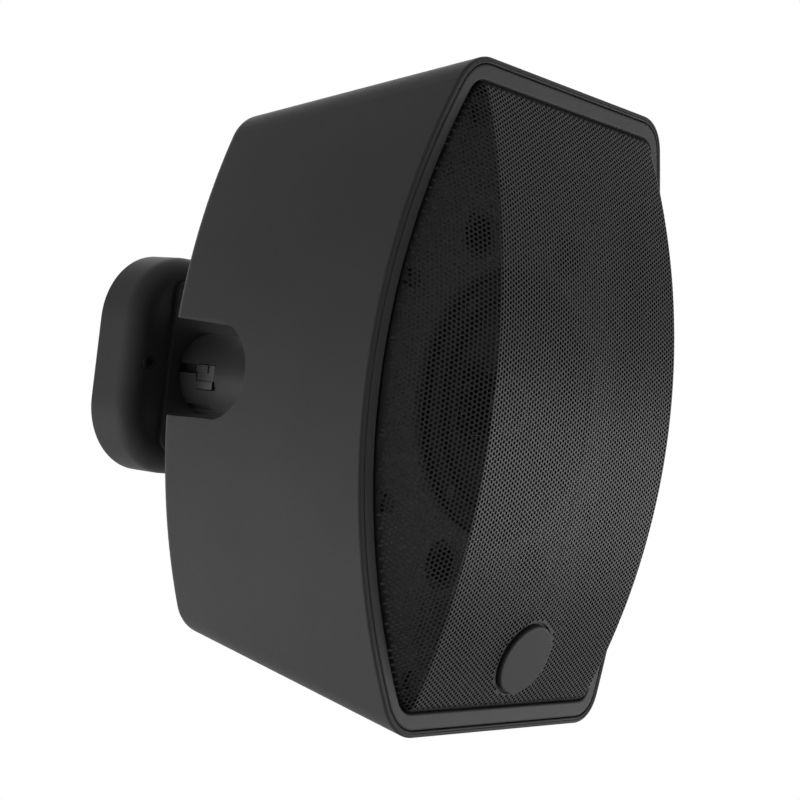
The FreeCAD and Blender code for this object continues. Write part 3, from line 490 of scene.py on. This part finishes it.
def holes(outline, offset):
    """Centres of the holes inside the outline that keep their margin to all of it but the middle line."""
    edge = np.array(outline)
    edge_next = np.roll(edge, -1, axis=0)
    column = HOLE_PITCH * math.sqrt(3) / 2
    reach = edge.max(axis=0)
    centres = []
    for index in range(int(reach[0] / column) + 1):
        shift = HOLE_PITCH / 2 * ((index + offset) % 2)
        rows = np.arange(-reach[1] + shift, reach[1], HOLE_PITCH)
        centres.append(np.stack([np.full_like(rows, column * (index + 0.5)), rows], axis=-1))
    centres = np.concatenate(centres)
    inside = np.zeros(len(centres), dtype=bool)
    near = np.full(len(centres), np.inf)
    for start, end in zip(edge, edge_next):
        crosses = (start[1] > centres[:, 1]) != (end[1] > centres[:, 1])
        with np.errstate(divide="ignore", invalid="ignore"):
            meet = start[0] + (centres[:, 1] - start[1]) * (end[0] - start[0]) / (end[1] - start[1])
        inside ^= crosses & (centres[:, 0] < meet)
        on_middle_line = start[0] == 0 and end[0] == 0
        if not on_middle_line:
            near = np.minimum(near, distance_from(centres, start, end))
    return centres[inside & (near > HOLE_RADIUS + HOLE_MARGIN)]


def edge_roll(flat, rim):
    """How far each point of the sheet is turned back towards its seat, close to the rim."""
    near = np.full(len(flat), np.inf)
    for start, end in zip(rim[:-1], rim[1:]):
        near = np.minimum(near, distance_from(flat, start, end))
    return ROLL_DEPTH * np.clip(1 - near / ROLL_WIDTH, 0, 1) ** 2


def sheet_triangles(flat, count):
    """Triangles of the flat sheet between its outline, the first count points, and its holes."""
    edges = [(i, (i + 1) % count) for i in range(count)]
    for start in range(count, len(flat), HOLE_SIDES):
        edges += [(start + i, start + (i + 1) % HOLE_SIDES) for i in range(HOLE_SIDES)]
    scaled = [Vector(point / MM) for point in flat]
    triangles = np.array(delaunay_2d_cdt(scaled, edges, [], INSIDE_ONLY, MERGE_LIMIT)[2])
    owner = np.where(triangles >= count, (triangles - count) // HOLE_SIDES, -1)
    plug = (owner[:, 0] >= 0) & (owner[:, 0] == owner[:, 1]) & (owner[:, 1] == owner[:, 2])
    return triangles[~plug]


def sheet_walls(count, rim_count, total):
    """Faces that join the sheet's two sides: in the holes, along the middle and around the flange."""
    faces = []
    for start in range(count, total, HOLE_SIDES):
        for i in range(HOLE_SIDES):
            a, b = start + i, start + (i + 1) % HOLE_SIDES
            faces.append((a, b, b + total, a + total))
    outer, inner = 2 * total, 2 * total + rim_count
    last = rim_count - 1
    for i in range(count):
        j = (i + 1) % count
        if i < last:
            faces.append((i, j, outer + j, outer + i))
            faces.append((outer + i, outer + j, inner + j, inner + i))
            faces.append((inner + i, inner + j, j + total, i + total))
        else:
            faces.append((i, j, j + total, i + total))
    faces.append((0, outer, inner, total))
    faces.append((last, last + total, inner + last, outer + last))
    return faces


def perforated_half(name, side):
    """One half of the formed, perforated sheet as a closed mesh with its return flange."""
    outline, rim_count = half_outline()
    centres = holes(outline, 0 if side > 0 else 1)
    turns = np.arange(HOLE_SIDES) * 2 * math.pi / HOLE_SIDES
    ring = HOLE_RADIUS * np.stack([np.cos(turns), np.sin(turns)], axis=-1)
    hole_points = (centres[:, None, :] + ring[None, :, :]).reshape(-1, 2)
    flat = np.concatenate([np.array(outline), hole_points])
    triangles = sheet_triangles(flat, len(outline))
    across, along = flat[:, 0], flat[:, 1]
    face = formed(across, along)
    face[:, 1] += edge_roll(flat, np.array(outline[:rim_count]))
    back = face + SHEET * inward(across, along)
    skirt = face[:rim_count].copy()
    skirt[:, 1] = grille_high[1]
    skirt_in = back[:rim_count].copy()
    skirt_in[:, 1] = grille_high[1]
    points = np.concatenate([face, back, skirt, skirt_in])
    total = len(flat)
    faces = [tuple(t) for t in triangles] + [tuple(t[::-1] + total) for t in triangles]
    faces += sheet_walls(len(outline), rim_count, total)
    points[:, 0] *= side
    if side < 0:
        faces = [tuple(reversed(corners)) for corners in faces]
    mesh = mesh_of(name, points.tolist(), [tuple(int(i) for i in corners) for corners in faces])
    finished_piece(placed(name, mesh), "speaker", "grille_paint", "grille")


def lip_rail(inset, behind_face):
    """Closed line in the groove around the bezel, at an inset and a depth behind the concave front.

    The outline depends on the depth and the depth on the height, so each point is settled in a few rounds.
    """
    corner = CABINET_CORNER - inset
    quarter = []
    for part, steps in LIP_STEPS.items():
        for share in np.linspace(0, 1, steps, endpoint=False):
            y = CABINET_FRONT
            for _ in range(LIP_ROUNDS):
                arc, arc_centre, corner_x, corner_z = barrel(y, inset, inset, corner)
                side_turn = math.asin(corner_z / (arc - corner))
                if part == "top":
                    x, z = corner_x * share, corner_z + corner
                elif part == "corner":
                    turn = math.pi / 2 + (side_turn - math.pi / 2) * share
                    x, z = corner_x + corner * math.cos(turn), corner_z + corner * math.sin(turn)
                else:
                    turn = side_turn * (1 - share)
                    x, z = arc_centre + arc * math.cos(turn), arc * math.sin(turn)
                y = CABINET_FRONT + FRONT_RECESS - FRONT_ARC + math.sqrt(FRONT_ARC ** 2 - z ** 2)
            quarter.append((x, y + behind_face, z))
    lower = [(x, y, -z) for x, y, z in reversed(quarter[1:])]
    right = quarter + lower
    left = [(-x, y, -z) for x, y, z in right]
    return [(x, y, z + SPEAKER_Z) for x, y, z in right + left]


def make_lip():
    """Narrow lip that stands in the groove between the cabinet's rim and the bezel."""
    rails = [lip_rail(inset, depth) for inset, depth in LIP_SECTION]
    points = [point for rail in rails for point in rail]
    around = len(rails[0])
    faces = []
    for rail in range(len(rails)):
        here, there = rail * around, (rail + 1) % len(rails) * around
        for step in range(around):
            after = (step + 1) % around
            faces.append((here + step, there + step, there + after, here + after))
    mesh = mesh_of("bezel_lip", points, faces)
    mesh.polygons.foreach_set("use_smooth", [True] * len(faces))
    finished_piece(placed("bezel_lip", mesh), "speaker", "bezel_plastic")


def lathe_mesh(name, profile, turns):
    """Closed mesh turned about its Z axis from a (radius, height) profile that starts and ends on it."""
    angles = np.arange(turns) * 2 * math.pi / turns
    rings = [(radius * np.cos(angles), radius * np.sin(angles), np.full(turns, height))
             for radius, height in profile[1:-1]]
    points = np.stack([np.concatenate(column) for column in zip(*rings)], axis=-1).tolist()
    last = len(points)
    points += [(0, 0, profile[0][1]), (0, 0, profile[-1][1])]
    faces = []
    for step in range(turns):
        after = (step + 1) % turns
        faces.append((last, after, step))
        for ring in range(len(rings) - 1):
            start = ring * turns
            faces.append((start + step, start + after, start + turns + after, start + turns + step))
        faces.append((last + 1, last - turns + step, last - turns + after))
    return mesh_of(name, points, faces)


def ring_mesh(name, profile, turns):
    """Closed ring turned about the Y axis from a closed (radius, depth) profile."""
    angles = np.arange(turns) * 2 * math.pi / turns
    points = [(radius * math.cos(angle), depth, radius * math.sin(angle))
              for angle in angles for radius, depth in profile]
    count = len(profile)
    faces = []
    for step in range(turns):
        start, after = step * count, (step + 1) % turns * count
        for i in range(count):
            j = (i + 1) % count
            faces.append((start + i, start + j, after + j, after + i))
    return mesh_of(name, points, faces)


def bar_mesh(name, size, taper):
    """Box centred on its base, its top scaled by a factor."""
    half_x, half_y, top = size[0] / 2, size[1] / 2, size[2]
    points = [(sx * half_x * scale, sy * half_y * scale, z) for z, scale in ((0, 1.0), (top, taper))
              for sx, sy in ((-1, -1), (1, -1), (1, 1), (-1, 1))]
    faces = [(3, 2, 1, 0), (4, 5, 6, 7), (0, 1, 5, 4), (1, 2, 6, 5), (2, 3, 7, 6), (3, 0, 4, 7)]
    return mesh_of(name, points, faces)


def gathered(name, mesh, places):
    """One piece with a copy of a mesh at each place."""
    work = bmesh.new()
    for place in places:
        copy = mesh.copy()
        copy.transform(place)
        work.from_mesh(copy)
        bpy.data.meshes.remove(copy)
    merged = bpy.data.meshes.new(name)
    work.to_mesh(merged)
    work.free()
    return placed(name, merged)


def cut_away(mesh, cutters):
    """Mesh with other meshes taken out of it, without the slivers that the cuts leave."""
    work = placed("work", mesh)
    tools = []
    for cutter in cutters:
        tool = placed("tool", cutter)
        cut = work.modifiers.new("cut", "BOOLEAN")
        cut.solver = "EXACT"
        cut.object = tool
        tools.append(tool)
    shaped = bpy.data.meshes.new_from_object(work.evaluated_get(bpy.context.evaluated_depsgraph_get()))
    for done in [work] + tools:
        bpy.data.objects.remove(done)
    clean = bmesh.new()
    clean.from_mesh(shaped)
    bmesh.ops.remove_doubles(clean, verts=clean.verts, dist=WELD)
    bmesh.ops.dissolve_degenerate(clean, edges=clean.edges, dist=WELD)
    clean.to_mesh(shaped)
    clean.free()
    return shaped


def cross_head(radius, height):
    """Low domed screw head with a cross recess, standing on z = 0."""
    profile = [(out * radius, up * height) for out, up in HEAD_PROFILE]
    head = lathe_mesh("screw_head", profile, HEAD_TURNS)
    recess = bar_mesh("recess", (RECESS_WIDTH * radius, RECESS_LENGTH * radius, height), RECESS_TAPER)
    recess.transform(Matrix.Translation((0, 0, RECESS_FLOOR * height)))
    other = recess.copy()
    other.transform(Matrix.Rotation(math.pi / 2, 4, "Z"))
    return cut_away(head, [recess, other])


def make_screws():
    """Cross-head screws of the terminal panel and of the wall plate's cover."""
    low, high = (Vector(corner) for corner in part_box("panel_screws"))
    head = cross_head(PANEL_HEAD_RADIUS, PANEL_HEAD)
    turn = Matrix.Rotation(-math.pi / 2, 4, "X")
    places = []
    for x in (low.x + PANEL_HEAD_RADIUS, high.x - PANEL_HEAD_RADIUS):
        for z in (low.z + PANEL_HEAD_RADIUS, high.z - PANEL_HEAD_RADIUS):
            spin = Matrix.Rotation(SCREW_SPIN * (x + 2 * z) / PANEL_HEAD_RADIUS, 4, "Z")
            places.append(Matrix.Translation((x, high.y - PANEL_HEAD, z)) @ turn @ spin)
    finished_piece(gathered("panel_screw_heads", head, places), "speaker", "black_screw", "panel_screws")
    low, high = (Vector(corner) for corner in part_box("cover_screws"))
    middle = (low + high) / 2
    radius = (high.x - low.x) / 2
    head = cross_head(radius, COVER_HEAD)
    places = [Matrix.Translation((middle.x, middle.y, high.z - COVER_HEAD)),
              Matrix.Translation((middle.x, middle.y, low.z + COVER_HEAD)) @ Matrix.Rotation(math.pi, 4, "X")]
    finished_piece(gathered("cover_screw_heads", head, places), "mount", "black_screw", "cover_screws")


def make_spider():
    """Corrugated cloth behind the cone."""
    low, high = (Vector(corner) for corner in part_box("woofer_spider"))
    outer = (high.x - low.x) / 2
    shares = np.linspace(0, 1, SPIDER_WAVE_POINTS * SPIDER_WAVES + 1)
    radii = SPIDER_INNER + shares * (outer - SPIDER_INNER)
    waves = SPIDER_WAVE * np.sin(2 * math.pi * SPIDER_WAVES * shares) * np.sin(math.pi * shares)
    depths = -SPIDER_CLOTH - SPIDER_DROP * (1 - shares) + waves
    front = list(zip(radii, depths))
    back = [(radius, depth + SPIDER_CLOTH) for radius, depth in reversed(front)]
    seat = Vector(((low.x + high.x) / 2, high.y, (low.z + high.z) / 2))
    mesh = ring_mesh("spider", front + back, SPIDER_TURNS)
    mesh.transform(Matrix.Translation(seat))
    spider = placed("spider", mesh)
    finished_piece(spider, "speaker", "spider_cloth", "woofer_spider")
    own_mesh(spider)


def make_tap_scale():
    """Raised marks on the terminal panel for the knob's settings."""
    knob_low, knob_high = (Vector(corner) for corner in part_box("tap_knob"))
    panel_high = Vector(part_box("terminal_panel")[1])
    radius = (knob_high.x - knob_low.x) / 2
    centre = Vector(((knob_low.x + knob_high.x) / 2, panel_high.y, (knob_low.z + knob_high.z) / 2))
    mark = bar_mesh("mark", TAP_MARK, TAP_MARK_TAPER)
    out = Matrix.Translation((0, radius + TAP_MARK[1], 0))
    flat = Matrix.Rotation(-math.pi / 2, 4, "X") @ Matrix.Rotation(math.pi, 4, "Z")
    places = [Matrix.Translation(centre) @ flat @ Matrix.Rotation(angle, 4, "Z") @ out
              for angle in np.radians(np.linspace(-TAP_SWEEP, TAP_SWEEP, TAP_MARKS))]
    finished_piece(gathered("tap_scale", mark, places), "speaker", "panel_plastic")


def make_camera():
    """Camera at the photograph's viewing angle."""
    camera = placed("photo_camera", bpy.data.cameras.new("photo_camera"))
    camera.data.lens = CAMERA_LENS
    camera.data.sensor_width = CAMERA_SENSOR
    turn = Matrix.Rotation(-CAMERA_HEADING, 4, "Z") @ Matrix.Rotation(math.pi / 2 + CAMERA_TILT, 4, "X")
    roll = Matrix.Rotation(CAMERA_ROLL, 4, "Z")
    camera.matrix_world = Matrix.Translation(CAMERA_PLACE) @ turn @ roll
    bpy.context.scene.camera = camera


def seen_directly(tree):
    """1 for rays that the camera sends, also by way of a reflection or through glass."""
    path = tree.nodes.new("ShaderNodeLightPath")
    seen = path.outputs["Is Camera Ray"]
    for other in ("Is Glossy Ray", "Is Transmission Ray"):
        either = tree.nodes.new("ShaderNodeMath")
        either.operation = "MAXIMUM"
        tree.links.new(seen, either.inputs[0])
        tree.links.new(path.outputs[other], either.inputs[1])
        seen = either.outputs["Value"]
    return seen


def make_floor():
    """Pale floor that keeps the part's shadow and fades into the white background around it."""
    half = FLOOR_SIZE / 2
    corners = [(-half, -half, 0), (half, -half, 0), (half, half, 0), (-half, half, 0)]
    mesh = mesh_of("floor", corners, [(0, 1, 2, 3)])
    floor = placed("floor", mesh)
    floor.location.z = cad_box[0][2] - FLOOR_DROP
    material, tree, shader = new_material("floor")
    shader.inputs["Base Color"].default_value = (FLOOR_GREY, FLOOR_GREY, FLOOR_GREY, 1.0)
    shader.inputs["Roughness"].default_value = FLOOR_ROUGHNESS
    mapping = tree.nodes.new("ShaderNodeMapping")
    mapping.inputs["Scale"].default_value = (1 / FLOOR_FADE, 1 / FLOOR_FADE, 1 / FLOOR_FADE)
    tree.links.new(object_coords(tree), mapping.inputs["Vector"])
    near = tree.nodes.new("ShaderNodeTexGradient")
    near.gradient_type = "SPHERICAL"
    tree.links.new(mapping.outputs["Vector"], near.inputs["Vector"])
    bare = tree.nodes.new("ShaderNodeMapRange")
    bare.interpolation_type = "SMOOTHSTEP"
    bare.inputs["From Max"].default_value = FLOOR_NEAR
    bare.inputs["To Min"].default_value = 1.0
    bare.inputs["To Max"].default_value = FLOOR_NEAR_WHITE
    tree.links.new(near.outputs["Fac"], bare.inputs["Value"])
    share = tree.nodes.new("ShaderNodeMath")
    share.operation = "MULTIPLY"
    tree.links.new(seen_directly(tree), share.inputs[0])
    tree.links.new(bare.outputs["Result"], share.inputs[1])
    white = tree.nodes.new("ShaderNodeEmission")
    mix = tree.nodes.new("ShaderNodeMixShader")
    tree.links.new(share.outputs["Value"], mix.inputs["Fac"])
    tree.links.new(shader.outputs["BSDF"], mix.inputs[1])
    tree.links.new(white.outputs["Emission"], mix.inputs[2])
    tree.links.new(mix.outputs["Shader"], tree.nodes["Material Output"].inputs["Surface"])
    mesh.materials.append(material)


def make_world():
    """White where it is seen, softer as a light."""
    world = bpy.data.worlds.new("studio")
    bpy.context.scene.world = world
    world.use_nodes = True
    tree = world.node_tree
    background = tree.nodes["Background"]
    background.inputs["Color"].default_value = (1.0, 1.0, 1.0, 1.0)
    level = tree.nodes.new("ShaderNodeMapRange")
    level.inputs["To Min"].default_value = AMBIENT
    level.inputs["To Max"].default_value = 1.0
    tree.links.new(seen_directly(tree), level.inputs["Value"])
    tree.links.new(level.outputs["Result"], background.inputs["Strength"])


def add_light(name, place, size, power):
    """Square soft light that faces the middle of the part."""
    light = bpy.data.lights.new(name, "AREA")
    light.size = size
    light.energy = power
    lamp = placed(name, light)
    lamp.visible_camera = False
    direction = LAMP_TARGET - Vector(place)
    lamp.matrix_world = Matrix.Translation(place) @ direction.to_track_quat("-Z", "Y").to_matrix().to_4x4()


def make_studio():
    """World, floor and lamps."""
    make_world()
    make_floor()
    for lamp in LAMPS:
        add_light(*lamp)


finish_nodes()
perforated_half("grille_right", 1)
perforated_half("grille_left", -1)
make_lip()
make_screws()
make_spider()
make_tap_scale()
make_camera()
make_studio()
bpy.context.scene.view_settings.view_transform = "Standard"
